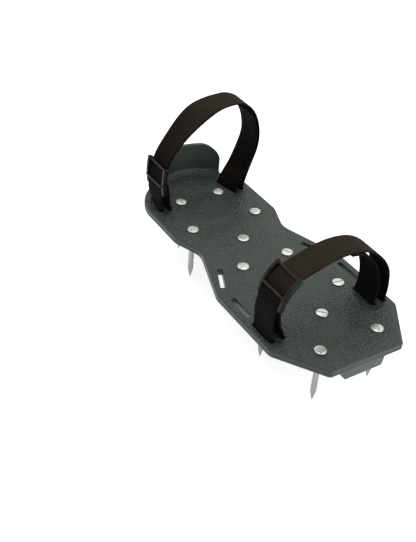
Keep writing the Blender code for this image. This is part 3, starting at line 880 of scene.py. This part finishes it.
def strapFrames(strap, step):
    # middle point, direction across and outward direction at even steps along the strap, in metres
    line, length = evenSteps([p * mm for p in smoothRoute(strapRoute(strap))], step)
    rows = []
    for i, point in enumerate(line):
        x, z = point
        along = (line[min(i + 1, len(line) - 1)] - line[max(i - 1, 0)]).normalized()
        fade = strap["fades"][0 if x < 0 else 1] * mm
        share = max(0.0, min(1.0, (fade - z) / (fade - band["legUpright"]) if fade > z else 0.0))
        turn = math.copysign(strap["flare"], x) * share
        y = strap["centreY"] + math.tan(abs(turn)) * (abs(x) - strap["inner"] * mm)
        lean = strap["lean"]
        tilt = 0.0
        if z > lean["above"]:
            tilt = lean["angle"] * math.exp(-((x - lean["x"]) / lean["spread"]) ** 2)
        level = Vector((math.sin(turn), -math.cos(turn), 0))
        across = level * math.cos(tilt) - Vector((-along.y, 0, along.x)) * math.sin(tilt)
        forward = Vector((along.x, 0, along.y))
        outward = across.cross(forward).normalized()
        rows.append((Vector((x, y, soleFoot + z)), across, outward))
    return rows, length


def bandSection():
    # (across from -1 to 1, outward side) round the band's section, with soft selvedges
    count = band["across"]
    upper = [(-1 + 2 * i / count, 1) for i in range(count + 1)]
    lower = [(1 - 2 * i / count, -1) for i in range(count + 1)]
    return upper + [(1.012, 0)] + lower + [(-1.012, 0)]


def makeBand(name, strap, body, nodeName):
    step = wovenBlack["rowPitch"] / band["rowsPerRib"]
    rows, length = strapFrames(strap, step)
    section = bandSection()
    half, thick = band["width"] / 2, band["thickness"] / 2
    selvedge = 1 - band["selvedge"] / half
    bm = bmesh.new()
    uvLayer = bm.loops.layers.uv.new("weave")
    rings = []
    for k, (middle, across, outward) in enumerate(rows):
        rib = math.cos(2 * math.pi * k / band["rowsPerRib"])
        ring = []
        for share, side in section:
            edge = min(1.0, max(0.0, (abs(share) - selvedge) / (1 - selvedge)))
            height = thick * (1 - 0.35 * edge ** 2) + band["ribDepth"] * rib * (1 - edge) * 0.5
            ring.append(bm.verts.new(middle + across * half * 0.988 * share + outward * height * side))
        rings.append(ring)
    size = len(section)
    for k in range(len(rings) - 1):
        for i in range(size):
            j = (i + 1) % size
            face = bm.faces.new((rings[k][i], rings[k + 1][i], rings[k + 1][j], rings[k][j]))
            face.smooth = True
            for loop, (row, col) in zip(face.loops, ((k, i), (k + 1, i), (k + 1, j), (k, j))):
                loop[uvLayer].uv = (row * step, section[col][0] * half + half)
    bm.faces.new(rings[0])
    bm.faces.new(rings[-1][::-1])
    made = addObject(name, meshFrom(bm, name))
    made.data.materials.append(webbing)
    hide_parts(nodeName)
    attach(made, body)
    print(name, "is", round(length * 1000), "mm of webbing,", len(made.data.polygons), "faces")
    return made


makeBand("frontWebbing", frontStrap, "front_strap", "front_strap")
makeBand("heelWebbing", heelStrap, "heel_strap", "heel_strap")


# buckles

buckle = {"voxel": 0.30 * mm, "passes": 5}


def makeBuckle(nodeName):
    # the frame's own solid, with every inner corner and edge rounded as a moulding is
    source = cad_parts[nodeName]
    bm = bmesh.new()
    bm.from_mesh(source.data)
    bmesh.ops.remove_doubles(bm, verts=bm.verts, dist=0.000002)
    made = addObject(nodeName + "Moulding", meshFrom(bm, nodeName))
    remesh = made.modifiers.new("remesh", "REMESH")
    remesh.mode = "VOXEL"
    remesh.voxel_size = buckle["voxel"]
    soften = made.modifiers.new("soften", "SMOOTH")
    soften.factor = 0.5
    soften.iterations = buckle["passes"]
    made = settle(made)
    made.data.shade_smooth()
    made.data.materials.clear()
    made.data.materials.append(blackPlastic)
    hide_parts(nodeName)
    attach(made, nodeName)
    return made


for nodeName in ("front_buckle", "heel_buckle"):
    moulding = makeBuckle(nodeName)
    print(nodeName, "moulded:", len(moulding.data.polygons), "faces")


# floor and lights

studio = {
    "floor": (0.66, 0.66, 0.66, 1),
    "floorGlow": 0.68,          # a light table, so that the shadow under the sandal stays faint
    "world": 1.0,
    "lights": (
        # name, place, aimed at, size, watts
        ("overhead", (0.15, 0.35, 1.5), (0, 0, 0), 1.6, 10),
        ("front", (0.35, -0.95, 0.32), (0.12, -0.32, 0), 0.5, 3.5),
    ),
}


def addStudio():
    scene = bpy.context.scene
    world = bpy.data.worlds.new("studio")
    world.use_nodes = True
    world.node_tree.nodes["Background"].inputs["Color"].default_value = (1, 1, 1, 1)
    world.node_tree.nodes["Background"].inputs["Strength"].default_value = studio["world"]
    scene.world = world
    scene.view_settings.view_transform = "Standard"
    for name, place, target, size, power in studio["lights"]:
        data = bpy.data.lights.new(name, "AREA")
        data.size = size
        data.energy = power
        light = bpy.data.objects.new(name, data)
        light.location = place
        light.rotation_euler = (Vector(target) - Vector(place)).to_track_quat("-Z", "Y").to_euler()
        scene.collection.objects.link(light)
    bm = bmesh.new()
    bmesh.ops.create_grid(bm, x_segments=1, y_segments=1, size=6.0)
    floor = addObject("floor", meshFrom(bm, "floor", False))
    paint = bpy.data.materials.new("paleFloor")
    paint.use_nodes = True
    shader = paint.node_tree.nodes["Principled BSDF"]
    shader.inputs["Base Color"].default_value = studio["floor"]
    shader.inputs["Roughness"].default_value = 0.7
    shader.inputs["Emission Color"].default_value = (1, 1, 1, 1)
    shader.inputs["Emission Strength"].default_value = studio["floorGlow"]
    floor.data.materials.append(paint)


addStudio()
print("studio set")
